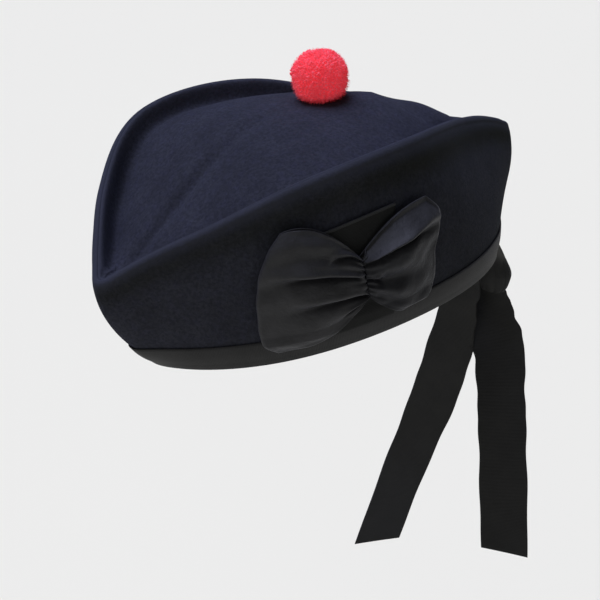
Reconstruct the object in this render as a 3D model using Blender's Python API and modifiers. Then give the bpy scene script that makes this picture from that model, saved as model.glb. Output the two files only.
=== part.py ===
"""Glengarry: a folded felt bonnet with a ribbon binding, a bow cockade, two ribbon tails and a toorie.

Metres, +Z up. The wearer's front is -Y and the wearer's left is +X. The origin is the middle of the
head opening, level with the rim.
"""

import math

import bmesh
import bpy
import numpy as np
from mathutils import Vector

# Walls
FELT = 0.0022
RIBBON = 0.0011
GAP = 0.0003

# Rim of the head opening, measured on the outside of the felt
RIM_HALF_LENGTH = 0.1048
RIM_HALF_WIDTH = 0.0764
RIM_SADDLE = 0.0037
RIM_FRONT_SHARPNESS = 0.33
RIM_LIFT = 0.0016
BINDING_HEIGHT = 0.0131
BINDING_GAP = 0.00070

# Roundness of the ridge along the top of the side panels
RIDGE_RADIUS = 0.0031
RIDGE_STRIP = 0.0006

# Share of the sections over which the ridges round off into each other at the seams
FRONT_ROUNDING = 0.02
BACK_ROUNDING = 0.05
NORMAL_REACH = 0.015
NORMAL_STEP = 0.004

# Crown: how far inside the ridge its valley runs, at most and as a share of the half width. The slope
# into the valley is a curve with a handle this share of the inset from the ridge. Then the width of the
# middle crease, and the stations where the crown ends
VALLEY_INSET = 0.0082
VALLEY_SHARE = 0.55
RIDGE_HANDLE = 0.5
VALLEY_HANDLE = 0.38
CREASE_WIDTH = 0.0057
CROWN_ENDS = (0.014, 0.955)

# The right side has settled a little lower towards the back: how much, where, and over what length
SETTLE = 0.0076
SETTLE_ALONG = 0.0960
SETTLE_REACH = 0.0400
SETTLE_WIDTH = 0.0042
SETTLE_HEIGHT = 0.0313

# One row for each section from the front seam (0) to the back seam (1): place and height of the
# ridge, height of the crown on the middle line, drop from ridge to valley, depth of the crease,
# and how far the side panel swells between rim and ridge
SECTION_COLUMNS = ("station", "along", "half_width", "ridge", "crown", "drop", "crease", "swell")
SECTIONS = (
    (0.00, -0.1299, 0.0000, 0.0517, 0.0512, 0.0000, 0.0000, 0.0074),
    (0.08, -0.1155, 0.0181, 0.0638, 0.0538, 0.0094, 0.0014, 0.0040),
    (0.20, -0.0912, 0.0460, 0.0785, 0.0698, 0.0120, 0.0030, 0.0021),
    (0.40, -0.0434, 0.0748, 0.0979, 0.0977, 0.0094, 0.0022, 0.0047),
    (0.60, 0.0209, 0.0663, 0.0943, 0.0999, 0.0089, 0.0000, 0.0054),
    (0.80, 0.0873, 0.0249, 0.0726, 0.0713, 0.0068, 0.0000, 0.0063),
    (0.87, 0.1085, 0.0132, 0.0640, 0.0550, 0.0060, 0.0000, 0.0070),
    (0.93, 0.1250, 0.0058, 0.0555, 0.0520, 0.0030, 0.0000, 0.0076),
    (1.00, 0.1379, 0.0000, 0.0460, 0.0449, 0.0000, 0.0000, 0.0089),
)

# Cockade: where its pinch sits on the left panel, and the size of the panel there, all its length
# round the hat and all its height
PINCH_STATION = 0.4283
PINCH_SHARE = 0.4093
PANEL_RUN = 0.3399
PANEL_RISE = 0.0932
COCKADE_BED = 0.0007
BINDING_STEP = 0.0016
STEP_TOP = 0.0080
STEP_LENGTH = 0.0050

# Backing patch: front and rear edge, from the bottom to the top
BACKING_COLUMNS = ("up", "front", "rear")
BACKING = (
    (-0.0280, -0.0225, 0.0141),
    (0.0000, -0.0199, 0.0214),
    (0.0313, -0.0167, 0.0287),
)

# Wings of the bow: one row for each fold from the bottom edge to the top. A fold starts at the pinch,
# ends at the outer turn of the loop, and is lifted off the felt halfway
FOLD_COLUMNS = ("pinch_up", "end_back", "end_up", "lift", "turn")
FRONT_WING = (
    (-0.0102, -0.0496, -0.0277, 0.0044, 0.0008),
    (-0.0100, -0.0543, -0.0209, 0.0069, 0.0019),
    (-0.0097, -0.0549, -0.0115, 0.0088, 0.0025),
    (-0.0088, -0.0543, -0.0016, 0.0050, 0.0023),
    (-0.0040, -0.0533, 0.0073, 0.0092, 0.0026),
    (0.0005, -0.0517, 0.0155, 0.0046, 0.0022),
    (0.0047, -0.0496, 0.0225, 0.0098, 0.0026),
    (0.0084, -0.0465, 0.0287, 0.0059, 0.0023),
    (0.0109, -0.0423, 0.0355, 0.0082, 0.0019),
    (0.0123, -0.0366, 0.0413, 0.0044, 0.0008),
)
REAR_WING = (
    (-0.0102, 0.0235, -0.0251, 0.0044, 0.0008),
    (-0.0084, 0.0313, -0.0214, 0.0069, 0.0021),
    (-0.0047, 0.0361, -0.0146, 0.0084, 0.0025),
    (-0.0013, 0.0381, -0.0068, 0.0061, 0.0025),
    (0.0021, 0.0397, 0.0010, 0.0084, 0.0025),
    (0.0063, 0.0444, 0.0089, 0.0079, 0.0025),
    (0.0092, 0.0475, 0.0146, 0.0048, 0.0023),
    (0.0109, 0.0486, 0.0219, 0.0092, 0.0025),
    (0.0123, 0.0475, 0.0308, 0.0052, 0.0008),
)
PINCH_LIFT = 0.0034
BACK_SHEET = 0.0007
FAN_OUT = 2.2
FOLD_CREST = 0.45

# Tails, from the knot to the free end: place of the middle of the ribbon, its width and the degrees
# that the width is turned from straight across the hat
TAIL_COLUMNS = ("x", "y", "z", "width", "heading")
TAIL_LEFT = (
    (-0.0016, 0.1167, -0.0451, 0.0176, 10.0),
    (-0.0016, 0.1167, -0.0558, 0.0240, 19.0),
    (0.0022, 0.1138, -0.0723, 0.0272, 27.0),
    (0.0119, 0.1050, -0.0998, 0.0272, 40.0),
    (0.0195, 0.0960, -0.1307, 0.0270, 43.0),
    (0.0299, 0.0814, -0.1887, 0.0265, 43.0),
)
TAIL_RIGHT = (
    (-0.0040, 0.1053, -0.0105, 0.0150, 0.0),
    (-0.0060, 0.1058, -0.0290, 0.0150, 4.0),
    (-0.0069, 0.1044, -0.0441, 0.0170, 6.0),
    (-0.0146, 0.1026, -0.0545, 0.0238, 14.0),
    (-0.0178, 0.1018, -0.0655, 0.0272, 16.0),
    (-0.0267, 0.0967, -0.0915, 0.0276, 20.0),
    (-0.0380, 0.0921, -0.1192, 0.0270, 24.0),
    (-0.0522, 0.0820, -0.1572, 0.0265, 25.0),
    (-0.0662, 0.0621, -0.2110, 0.0265, 25.0),
)
# How much longer the outer edge of each tail is cut than its inner edge
TAIL_LEFT_SLANT = 0.0063
TAIL_RIGHT_SLANT = 0.0092

# Knot at the nape, from the binding down: middle, width across the hat and depth of each section
KNOT_COLUMNS = ("x", "y", "z", "width", "depth")
KNOT = (
    (-0.0006, 0.1082, -0.0063, 0.0276, 0.0031),
    (-0.0002, 0.1110, -0.0136, 0.0274, 0.0036),
    (0.0000, 0.1140, -0.0209, 0.0266, 0.0052),
    (-0.0004, 0.1159, -0.0266, 0.0270, 0.0104),
    (-0.0012, 0.1163, -0.0345, 0.0304, 0.0142),
    (-0.0016, 0.1157, -0.0413, 0.0268, 0.0115),
    (-0.0014, 0.1147, -0.0444, 0.0222, 0.0089),
)
KNOT_SQUARENESS = 2.6

# Toorie
TOORIE_PLACE = (0.0, 0.0183, 0.1132)
TOORIE_RADIUS = 0.0132
TOORIE_SQUASH = 0.965
TUFT = 0.0021

# Number of faces
STATIONS = 24
PANEL_ROWS = 6
RIDGE_ROWS = 3
SLOPE_ROWS = 5
CROWN_ROWS = 6
WING_ROWS = 14
WING_COLUMNS = 7
TURN_COLUMNS = 3
RETURN_COLUMNS = 4
BACKING_ROWS = 12
BACKING_CELLS = 6
TAIL_ROWS = 20
TAIL_CELLS = 3
KNOT_ROWS = 12
KNOT_SIDES = 16

MODEL = "Glengarry"
CUTTERS = "Cutters"
CUTTER_SIZE = 0.4


def clear_scene():
    for old in list(bpy.data.objects):
        bpy.data.objects.remove(old, do_unlink=True)


def new_collection(name):
    group = bpy.data.collections.new(name)
    bpy.context.scene.collection.children.link(group)
    return group


def new_material(name, colour, roughness, metallic=0.0):
    material = bpy.data.materials.new(name)
    material.use_nodes = True
    shader = material.node_tree.nodes["Principled BSDF"]
    shader.inputs["Base Color"].default_value = (*colour, 1.0)
    shader.inputs["Roughness"].default_value = roughness
    shader.inputs["Metallic"].default_value = metallic
    return material


def through(knots, values, at):
    """Smooth curve through the values at the knots, read at the places given."""
    slopes = np.gradient(values, knots)
    at = np.clip(at, knots[0], knots[-1])
    i = np.clip(np.searchsorted(knots, at, side="right") - 1, 0, len(knots) - 2)
    width = knots[i + 1] - knots[i]
    t = (at - knots[i]) / width
    return (
        values[i] * (2 * t**3 - 3 * t**2 + 1)
        + values[i + 1] * (3 * t**2 - 2 * t**3)
        + slopes[i] * width * (t**3 - 2 * t**2 + t)
        + slopes[i + 1] * width * (t**3 - t**2)
    )


def eased(station):
    """Station with a level start and end, so that both sides of the hat join in a smooth curve."""
    if station < FRONT_ROUNDING:
        return (station**2 + FRONT_ROUNDING**2) / (2 * FRONT_ROUNDING)
    left = 1 - station
    if left < BACK_ROUNDING:
        return 1 - (left**2 + BACK_ROUNDING**2) / (2 * BACK_ROUNDING)
    return station


def section(name, station):
    """One column of SECTIONS at a station between the seams."""
    rows = np.array(SECTIONS)
    at = station if name == "half_width" else eased(station)
    return float(through(rows[:, 0], rows[:, SECTION_COLUMNS.index(name)], at))


def rim_point(station):
    turn = math.pi * station
    along = -math.cos(turn)
    sharpness = RIM_FRONT_SHARPNESS * along**2 if along < 0 else 0.0
    x = RIM_HALF_WIDTH * abs(math.sin(turn)) ** (1 + sharpness)
    return np.array((x, RIM_HALF_LENGTH * along, RIM_LIFT + RIM_SADDLE * (1 - 2 * along**2)))


def ridge_point(station):
    names = ("half_width", "along", "ridge")
    return np.array([section(name, station) for name in names])


def beyond_seam(point_at, station):
    """Point at a station that may lie past a seam, on the other side of the hat."""
    if station < 0:
        return point_at(-station) * (-1, 1, 1)
    if station > 1:
        return point_at(2 - station) * (-1, 1, 1)
    return point_at(station)


def level_normal(point_at, station):
    """Level direction out of the hat, square to a line of points from the front seam to the back."""
    run = beyond_seam(point_at, station + NORMAL_REACH) - beyond_seam(point_at, station - NORMAL_REACH)
    out = np.array((run[1], -run[0], 0.0))
    return out / np.linalg.norm(out)


def outward(station):
    return level_normal(ridge_point, station)


def shoulder_point(station):
    """Top of the flat face of the side panel, where the ridge starts to turn over."""
    out = outward(station)
    return ridge_point(station) + RIDGE_RADIUS * out - np.array((0, 0, RIDGE_RADIUS))


def panel_point(station, share):
    """Outside of the left panel, from the rim (0) to the shoulder of the ridge (1)."""

    def straight(place):
        return (1 - share) * rim_point(place) + share * shoulder_point(place)

    swell = section("swell", station) * 4 * share * (1 - share)
    return straight(station) + swell * level_normal(straight, station)


def binding_share(station):
    """Share of the panel that the binding covers."""
    return BINDING_HEIGHT / (shoulder_point(station)[2] - rim_point(station)[2])


def panel_normal(station, share):
    """Direction square to the left panel, out of the hat."""

    def on_level(place):
        return panel_point(place, share)

    along = beyond_seam(on_level, station + NORMAL_STEP) - beyond_seam(on_level, station - NORMAL_STEP)
    up = panel_point(station, share + NORMAL_STEP) - panel_point(station, share - NORMAL_STEP)
    square = np.cross(along, up)
    return square / np.linalg.norm(square)


def ridge_row(station, turn):
    """Point on the rounded top of the ridge, from the shoulder (0) to the crest (1)."""
    angle = turn * math.pi / 2
    lift = np.array((0, 0, RIDGE_RADIUS * (math.sin(angle) - 1)))
    return ridge_point(station) + RIDGE_RADIUS * math.cos(angle) * outward(station) + lift


def middle_line(name, along):
    """Height of the crown or depth of its crease on the middle line, at a place along the hat."""
    rows = np.array(SECTIONS)
    return float(through(rows[:, 1], rows[:, SECTION_COLUMNS.index(name)], along))


def crown_half(station):
    """Points across the left half of the crown, from the crest of the ridge to the middle line."""
    ridge = ridge_point(station)
    out = outward(station)
    inset = min(VALLEY_INSET, VALLEY_SHARE * ridge[0] / out[0])
    drop = section("drop", station) * inset / VALLEY_INSET
    valley = ridge - inset * out - np.array((0, 0, drop))
    middle = middle_line("crown", valley[1])
    crease = middle_line("crease", valley[1])
    slope = 2 * (middle - valley[2]) / valley[0]
    handles = (
        (GAP + RIDGE_STRIP, 0),
        (RIDGE_HANDLE * inset, 0),
        (VALLEY_HANDLE * inset, -drop - (1 - VALLEY_HANDLE) * inset * slope),
        (inset, -drop),
    )
    points = [ridge - GAP * out]
    for t in np.linspace(0, 1, SLOPE_ROWS + 1):
        weights = ((1 - t) ** 3, 3 * t * (1 - t) ** 2, 3 * t**2 * (1 - t), t**3)
        inward = sum(w * h[0] for w, h in zip(weights, handles))
        lift = sum(w * h[1] for w, h in zip(weights, handles))
        points.append(ridge - inward * out + np.array((0, 0, lift)))
    for t in np.linspace(0, 1, CROWN_ROWS + 1)[1:]:
        x = valley[0] * (1 - t)
        z = valley[2] + (middle - valley[2]) * (1 - (1 - t) ** 2)
        z -= crease * math.exp(-((x / CREASE_WIDTH) ** 2))
        points.append(np.array((x, valley[1], z)))
    return points


def grid_mesh(name, rows, closed=False):
    """Open surface of quads through rows of points. Closed joins the last row to the first."""
    mesh = bpy.data.meshes.new(name)
    count = len(rows[0])
    points = [tuple(p) for row in rows for p in row]
    faces = []
    for i in range(len(rows) if closed else len(rows) - 1):
        here = i * count
        there = ((i + 1) % len(rows)) * count
        for j in range(count - 1):
            faces.append((here + j, there + j, there + j + 1, here + j + 1))
    mesh.from_pydata(points, [], faces)
    return mesh


def place(name, mesh, material, group):
    piece = bpy.data.objects.new(name, mesh)
    mesh.materials.append(material)
    mesh.shade_smooth()
    group.objects.link(piece)
    return piece


def solidify(piece, thickness, side):
    """Gives an open surface its wall. Side is 1 to grow along its normals, -1 against them."""
    wall = piece.modifiers.new("Wall", "SOLIDIFY")
    wall.thickness = thickness
    wall.offset = side
    wall.use_quality_normals = True
    return wall


def half_space(side, group):
    """Cutter that keeps one side of the middle plane, less half a gap."""
    middle = side * (CUTTER_SIZE + GAP) / 2
    bpy.ops.mesh.primitive_cube_add(size=CUTTER_SIZE, location=(middle, 0, 0))
    cutter = bpy.context.object
    cutter.name = "keep_left" if side > 0 else "keep_right"
    for old in list(cutter.users_collection):
        old.objects.unlink(cutter)
    group.objects.link(cutter)
    cutter.hide_render = True
    cutter.display_type = "WIRE"
    return cutter


def mirrored(point):
    """The same point of the right side, which has settled a little."""
    x, y, z = point
    near = math.exp(-(((y - SETTLE_ALONG) / SETTLE_REACH) ** 2))
    out = min(1.0, x / SETTLE_WIDTH)
    high = min(1.0, max(0.0, (z - BINDING_HEIGHT) / SETTLE_HEIGHT))
    return np.array((-x, y, z - SETTLE * near * out * high))


def stations():
    """Places of the sections from the front seam to the back seam."""
    front, back = CROWN_ENDS
    return [0.0, front / 2, *np.linspace(front, back, STATIONS + 1), (1 + back) / 2, 1.0]


def ring_of(column_at):
    """Columns round the whole hat: the left side front to back, then its mirror image back to front."""
    places = stations()
    left = [column_at(s) for s in places]
    right = [[mirrored(p) for p in column_at(s)] for s in places[-2:0:-1]]
    return left + right


def panel_column(station):
    bound = binding_share(station)
    shares = [0, bound / 2, *np.linspace(bound, 1, PANEL_ROWS)]
    turns = np.linspace(0, 1, RIDGE_ROWS + 1)[1:]
    face = [panel_point(station, share) for share in shares]
    top = [ridge_row(station, turn) for turn in turns]
    strip = top[-1] + RIDGE_STRIP * outward(station)
    return face + top[:-1] + [strip, top[-1]]


def make_sides(felt, parts, cutters):
    rows = ring_of(panel_column)
    for name, side in (("side_left", 1), ("side_right", -1)):
        piece = place(name, grid_mesh(name, rows, closed=True), felt, parts)
        solidify(piece, FELT, -1)
        keep = piece.modifiers.new("Seam", "BOOLEAN")
        keep.operation = "INTERSECT"
        keep.solver = "EXACT"
        keep.object = half_space(side, cutters)


def make_crown(felt, parts):
    rows = []
    for station in stations()[2:-2]:
        half = crown_half(station)
        rows.append(half + [mirrored(point) for point in half[-2::-1]])
    piece = place("crown", grid_mesh("crown", rows), felt, parts)
    solidify(piece, FELT, -1)


def binding_column(station):
    """Line round the edge of the felt, from the outside of the hat under the rim to the inside."""
    bound = binding_share(station)
    outer = [(share, BINDING_GAP) for share in (bound, bound / 2, 0)]
    inner = [(share, -FELT - BINDING_GAP) for share in (0, bound / 2, bound)]
    line = [panel_point(station, at) + off * panel_normal(station, at) for at, off in outer + inner]
    line[2][2] -= BINDING_GAP
    line[3][2] -= BINDING_GAP
    return line


def make_binding(ribbon, parts):
    rows = ring_of(binding_column)
    piece = place("binding", grid_mesh("binding", rows, closed=True), ribbon, parts)
    solidify(piece, RIBBON, -1)


def on_panel(back, up, lift):
    """Point over the left panel: behind and above the pinch of the cockade, and lifted off the felt."""
    station = PINCH_STATION + back / PANEL_RUN
    share = PINCH_SHARE + up / PANEL_RISE
    above = (share - binding_share(station)) * PANEL_RISE
    step = BINDING_STEP * min(1.0, max(0.0, (STEP_TOP - above) / STEP_LENGTH))
    off = COCKADE_BED + step + lift
    return panel_point(station, share) + off * panel_normal(station, share)


def column_of(table, columns, name):
    return np.array(table)[:, columns.index(name)]


def row_at(table, columns, share):
    """All the columns of a table at a share of the way from its first row to its last."""
    knots = np.linspace(0, 1, len(table))
    return {name: float(through(knots, column_of(table, columns, name), share)) for name in columns}


def make_backing(ribbon, parts):
    ups = column_of(BACKING, BACKING_COLUMNS, "up")
    fronts = column_of(BACKING, BACKING_COLUMNS, "front")
    rears = column_of(BACKING, BACKING_COLUMNS, "rear")
    rows = []
    for up in np.linspace(ups[0], ups[-1], BACKING_ROWS + 1):
        front = np.interp(up, ups, fronts)
        rear = np.interp(up, ups, rears)
        rows.append([on_panel(back, up, 0) for back in np.linspace(front, rear, BACKING_CELLS + 1)])
    piece = place("cockade_backing", grid_mesh("cockade_backing", rows), ribbon, parts)
    solidify(piece, RIBBON, -1)


def wing_row(folds, across, side):
    """Line of the ribbon loop: out from the pinch, round its outer turn and back underneath."""
    fold = row_at(folds, FOLD_COLUMNS, across)
    under = RIBBON + GAP + BACK_SHEET
    over = under + 2 * fold["turn"]
    start = side * GAP / 2

    def line_point(along, lift):
        back = start + (fold["end_back"] - start) * along
        up = fold["pinch_up"] + (fold["end_up"] - fold["pinch_up"]) * (1 - (1 - along) ** FAN_OUT)
        return on_panel(back, up, lift)

    crests = np.array((0, FOLD_CREST, 1))
    lifts = np.array((under + PINCH_LIFT, fold["lift"] + under, over))
    points = []
    for along in np.linspace(0, 1, WING_COLUMNS + 1):
        points.append(line_point(along, float(through(crests, lifts, along))))
    end = fold["end_back"]
    for turn in np.linspace(0, math.pi, TURN_COLUMNS + 1)[1:]:
        reach = side * fold["turn"] * math.sin(turn)
        lift = under + fold["turn"] * (1 + math.cos(turn))
        points.append(on_panel(end + reach, fold["end_up"], lift))
    for along in np.linspace(1, 0, RETURN_COLUMNS + 1)[1:]:
        points.append(line_point(along, under))
    return points


def make_wing(name, folds, side, ribbon, parts):
    rows = [wing_row(folds, across, side) for across in np.linspace(0, 1, WING_ROWS + 1)]
    piece = place(name, grid_mesh(name, rows), ribbon, parts)
    solidify(piece, RIBBON, side)


def make_tail(name, path, slant, side, ribbon, parts):
    rows = []
    for along in np.linspace(0, 1, TAIL_ROWS + 1):
        at = row_at(path, TAIL_COLUMNS, along)
        middle = np.array((at["x"], at["y"], at["z"]))
        heading = math.radians(at["heading"])
        across = np.array((math.cos(heading), math.sin(heading), 0))
        shares = np.linspace(-0.5, 0.5, TAIL_CELLS + 1)
        rows.append([middle + share * at["width"] * across for share in shares])
    down = rows[-1][0] - rows[-2][0]
    down /= np.linalg.norm(down)
    for row, reach in ((rows[-1], 1.0), (rows[-2], 0.5)):
        for i, share in enumerate(np.linspace(-0.5, 0.5, TAIL_CELLS + 1)):
            row[i] = row[i] + side * share * reach * slant * down
    piece = place(name, grid_mesh(name, rows), ribbon, parts)
    solidify(piece, RIBBON, 0)


def squared(share):
    """Pushes a point of a round section out towards the corners."""
    return math.copysign(abs(share) ** (2 / KNOT_SQUARENESS), share)


def make_knot(ribbon, parts):
    mesh = bmesh.new()
    rings = []
    for along in np.linspace(0, 1, KNOT_ROWS + 1):
        at = row_at(KNOT, KNOT_COLUMNS, along)
        ring = []
        for turn in np.linspace(0, 2 * math.pi, KNOT_SIDES, endpoint=False):
            x = at["x"] + at["width"] / 2 * squared(math.cos(turn))
            y = at["y"] + at["depth"] / 2 * squared(math.sin(turn))
            ring.append(mesh.verts.new((x, y, at["z"])))
        rings.append(ring)
    for upper, lower in zip(rings, rings[1:]):
        for i in range(KNOT_SIDES):
            j = (i + 1) % KNOT_SIDES
            mesh.faces.new((upper[i], lower[i], lower[j], upper[j]))
    mesh.faces.new(rings[0])
    mesh.faces.new(rings[-1][::-1])
    data = bpy.data.meshes.new("tail_knot")
    mesh.to_mesh(data)
    mesh.free()
    place("tail_knot", data, ribbon, parts)


def make_toorie(wool, parts):
    """Ball of wool in short tufts, flattened where it rests on the crown."""
    mesh = bmesh.new()
    bmesh.ops.create_icosphere(mesh, subdivisions=3, radius=TOORIE_RADIUS)
    bmesh.ops.poke(mesh, faces=mesh.faces[:], offset=TUFT, use_relative_offset=False)
    for vertex in mesh.verts:
        vertex.co.z *= TOORIE_SQUASH
        vertex.co += Vector(TOORIE_PLACE)
        floor = middle_line("crown", vertex.co.y) + GAP
        vertex.co.z = max(vertex.co.z, floor)
    data = bpy.data.meshes.new("toorie")
    mesh.to_mesh(data)
    mesh.free()
    place("toorie", data, wool, parts)


def main():
    clear_scene()
    parts = new_collection(MODEL)
    cutters = new_collection(CUTTERS)
    felt = new_material("navy_felt", (0.022, 0.024, 0.045), 0.95)
    ribbon = new_material("black_ribbon", (0.018, 0.018, 0.020), 0.70)
    wool = new_material("red_wool", (0.52, 0.022, 0.045), 0.95)
    make_sides(felt, parts, cutters)
    make_crown(felt, parts)
    make_binding(ribbon, parts)
    make_backing(ribbon, parts)
    make_wing("cockade_front_wing", FRONT_WING, -1, ribbon, parts)
    make_wing("cockade_rear_wing", REAR_WING, 1, ribbon, parts)
    make_knot(ribbon, parts)
    make_tail("tail_left", TAIL_LEFT, TAIL_LEFT_SLANT, 1, ribbon, parts)
    make_tail("tail_right", TAIL_RIGHT, TAIL_RIGHT_SLANT, -1, ribbon, parts)
    make_toorie(wool, parts)


main()
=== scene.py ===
import math

import bmesh
import bpy
import numpy as np
from mathutils import Matrix, Vector


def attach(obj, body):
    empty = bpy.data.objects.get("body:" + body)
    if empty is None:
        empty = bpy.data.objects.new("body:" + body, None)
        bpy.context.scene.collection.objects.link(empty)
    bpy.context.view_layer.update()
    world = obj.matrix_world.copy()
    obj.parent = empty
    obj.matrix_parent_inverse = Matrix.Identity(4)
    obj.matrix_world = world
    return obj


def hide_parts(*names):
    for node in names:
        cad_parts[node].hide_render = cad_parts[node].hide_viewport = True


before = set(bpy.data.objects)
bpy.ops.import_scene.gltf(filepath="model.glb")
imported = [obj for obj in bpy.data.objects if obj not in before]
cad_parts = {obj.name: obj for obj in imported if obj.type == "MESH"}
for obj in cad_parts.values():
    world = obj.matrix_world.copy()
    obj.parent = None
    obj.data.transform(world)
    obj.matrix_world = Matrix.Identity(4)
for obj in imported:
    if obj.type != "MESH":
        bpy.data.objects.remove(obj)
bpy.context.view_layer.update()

# Walls
FELT = 0.0022
RIBBON = 0.0011
THIN_RIBBON = 0.0006
BINDING_RIBBON = 0.0004
GAP = 0.0003

# Binding: how far it stands out, how much narrower it is at the back, and the room left under it
BINDING_SWELL = 0.0008
BINDING_SWELL_FROM = 0.1
BINDING_TAPER = 0.22
BINDING_TAPER_STATIONS = (0.35, 0.95)
BINDING_ROOM = 0.0001
EDGE_ROOM = 0.0010
EDGE_STEP = 0.02

# Rim, ridge and crown of the solids
RIM_HALF_LENGTH = 0.1048
RIM_HALF_WIDTH = 0.0764
RIM_SADDLE = 0.0037
RIM_FRONT_SHARPNESS = 0.33
RIM_LIFT = 0.0016
BINDING_HEIGHT = 0.0131
RIDGE_RADIUS = 0.0031
FRONT_ROUNDING = 0.02
BACK_ROUNDING = 0.05
NORMAL_REACH = 0.015
NORMAL_STEP = 0.004
TINY = 1e-6
VALLEY_INSET = 0.0082
VALLEY_SHARE = 0.55
CREASE_WIDTH = 0.0057
STEEPEST = 0.4
TIP_WIDTH = 0.010
START_SHARE = 0.3
RIDGE_HANDLE = 0.5
VALLEY_HANDLE = 0.38

# Settling of the right side: depth, middle and reach, and the width and height where it is full
SETTLE = (0.0076, 0.0960, 0.0400)
SETTLE_WIDTH = 0.0042
SETTLE_HEIGHT = 0.0313

SECTION_COLUMNS = ("station", "along", "half_width", "ridge", "crown", "drop", "crease", "swell")
SECTIONS = (
    (0.00, -0.1299, 0.0000, 0.0517, 0.0512, 0.0000, 0.0000, 0.0074),
    (0.08, -0.1155, 0.0181, 0.0638, 0.0538, 0.0094, 0.0014, 0.0040),
    (0.20, -0.0912, 0.0460, 0.0785, 0.0698, 0.0120, 0.0030, 0.0021),
    (0.40, -0.0434, 0.0748, 0.0979, 0.0977, 0.0094, 0.0022, 0.0047),
    (0.60, 0.0209, 0.0663, 0.0943, 0.0999, 0.0089, 0.0000, 0.0054),
    (0.80, 0.0873, 0.0249, 0.0726, 0.0735, 0.0068, 0.0000, 0.0063),
    (0.87, 0.1085, 0.0132, 0.0640, 0.0550, 0.0060, 0.0000, 0.0070),
    (0.93, 0.1250, 0.0058, 0.0555, 0.0520, 0.0030, 0.0000, 0.0076),
    (1.00, 0.1379, 0.0000, 0.0460, 0.0449, 0.0000, 0.0000, 0.0089),
)

# Dips of the felt where two panels are joined: depth, middle and width, and how close they come
SEAM = (0.0007, 0, 0.0009)
SEAM_FADE = (0.60, 0.97)
GROOVE = (0.00045, 0, 0.0005)
LIP_REACH = 0.00005
LIPS = (0.0001, 0.0003, 0.0006)
LIP_SPAN = 3 * GAP

# Roll of the felt over the ridge and the hollow below it: height, and middle and width as shares of
# a side's height, which is the span, and how they fade at the seams and towards the back
ROLL_HUMPS = ((0.0013, 0.940, 0.045), (-0.0005, 0.82, 0.06))
ROLL_SPAN = 0.080
ROLL_END = 0.10
ROLL_BACK = 0.5
ROLL_BACK_STATIONS = (0.4, 0.8)

# Folds along the crown: metres to the left of the middle line, stations where a fold fades, depth,
# and how wide it is on its right and on its left
CROWN_FOLDS = (
    (0.0000, 0.03, 0.46, 0.0015, 0.0022, 0.0110),
    (0.0150, 0.10, 0.55, 0.0006, 0.0050, 0.0050),
    (0.0290, 0.22, 0.60, 0.0005, 0.0060, 0.0060),
    (-0.0170, 0.12, 0.50, 0.0006, 0.0050, 0.0060),
)
FOLD_FADE_IN = 0.08
FOLD_FADE_OUT = 0.15

# Where a ridge stands higher than the solid's: height, middle and reach along it, and how far out it
# starts and is full
LEFT_RISE = ((0.0022, -0.0800, 0.0380), (0.008, 0.035))
RIGHT_RISE = ((0.0015, 0.0150, 0.0400), (0.020, 0.060))
RISE_HEIGHT = 0.035

# Where the crown stands higher than the solid's: height, middle and reach along it, and width
CROWN_SWELLS = ((0.0018, 0.0330, 0.0170, 0.0300), (0.0028, 0.0790, 0.0140, 0.0250))
SWELL_EDGE = 0.25

# Cockade: its place on the side, and how it lies over the edge of the binding
PINCH_STATION = 0.4283
PINCH_SHARE = 0.4093
PANEL_RUN = 0.3399
PANEL_RISE = 0.0932
COCKADE_BED = 0.0007
BINDING_STEP = 0.0016
STEP_TOP = 0.0080
STEP_LENGTH = 0.0050

# Ribbon patch: heights over the pinch, and its front and rear edges there
BACKING = (
    (-0.0280, -0.0225, 0.0141),
    (0.0000, -0.0199, 0.0214),
    (0.0313, -0.0167, 0.0287),
)
HEM_WIDTH = 0.0013
HEM_LIFT = 0.0005

# Loops of the bow, from their lower edge to their upper one
FOLD_COLUMNS = ("pinch_up", "end_back", "end_up", "lift", "turn")
FRONT_WING = (
    (-0.0102, -0.0496, -0.0277, 0.0044, 0.0008),
    (-0.0100, -0.0543, -0.0209, 0.0069, 0.0019),
    (-0.0097, -0.0549, -0.0115, 0.0088, 0.0025),
    (-0.0088, -0.0543, -0.0016, 0.0050, 0.0023),
    (-0.0040, -0.0533, 0.0073, 0.0092, 0.0026),
    (0.0005, -0.0517, 0.0155, 0.0046, 0.0022),
    (0.0047, -0.0496, 0.0225, 0.0098, 0.0026),
    (0.0084, -0.0465, 0.0287, 0.0059, 0.0023),
    (0.0109, -0.0423, 0.0355, 0.0082, 0.0019),
    (0.0123, -0.0366, 0.0413, 0.0044, 0.0008),
)
REAR_WING = (
    (-0.0102, 0.0235, -0.0251, 0.0044, 0.0008),
    (-0.0084, 0.0313, -0.0214, 0.0069, 0.0021),
    (-0.0047, 0.0361, -0.0146, 0.0084, 0.0025),
    (-0.0013, 0.0381, -0.0068, 0.0061, 0.0025),
    (0.0021, 0.0397, 0.0010, 0.0084, 0.0025),
    (0.0063, 0.0444, 0.0089, 0.0079, 0.0025),
    (0.0092, 0.0475, 0.0146, 0.0048, 0.0023),
    (0.0109, 0.0483, 0.0210, 0.0092, 0.0025),
    (0.0123, 0.0466, 0.0286, 0.0052, 0.0008),
)
TURN_SCALE = 1.05
PINCH_LIFT = 0.0034
BACK_SHEET = 0.0007
FAN_OUT = 2.2
FOLD_CREST = 0.45
LOBE_LIFT = 0.0082
LOBE_EDGE = 0.04
LOBE_FULLNESS = 0.3

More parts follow.
